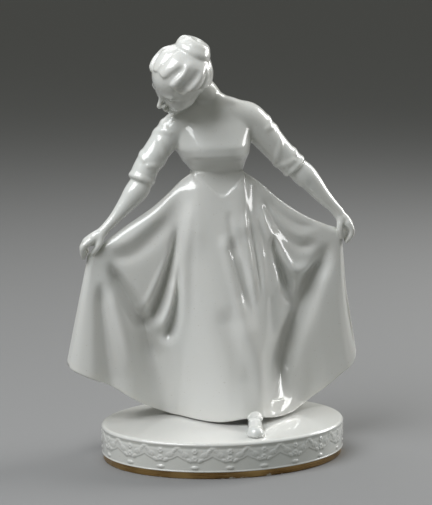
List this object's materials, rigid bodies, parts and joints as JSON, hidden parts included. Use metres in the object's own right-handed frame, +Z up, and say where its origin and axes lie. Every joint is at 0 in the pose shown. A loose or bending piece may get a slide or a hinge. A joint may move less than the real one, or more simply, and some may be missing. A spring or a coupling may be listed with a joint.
{
  "type": "porcelain dancer figurine",
  "caption": "White glazed porcelain dancer who bows her head and spreads her full skirt with both hands, on an oval plinth with a garland relief and a gilt foot band.",
  "frame": {"origin": "centre of the plinth's flat underside", "axes": "+Z up; +X along the plinth's long axis, towards the dancer's left hand; -Y towards the front, where the foot shows"},
  "size_m": [0.1923, 0.12, 0.27],
  "materials": {
    "figure_porcelain": "clear high-gloss glaze over white porcelain",
    "plinth_porcelain": "clear gloss glaze over white porcelain, with a painted satin gilt band round the foot"
  },
  "bodies": {
    "root": {"plinth": "plinth_porcelain", "dancer": "figure_porcelain"}
  },
  "joints": []
}
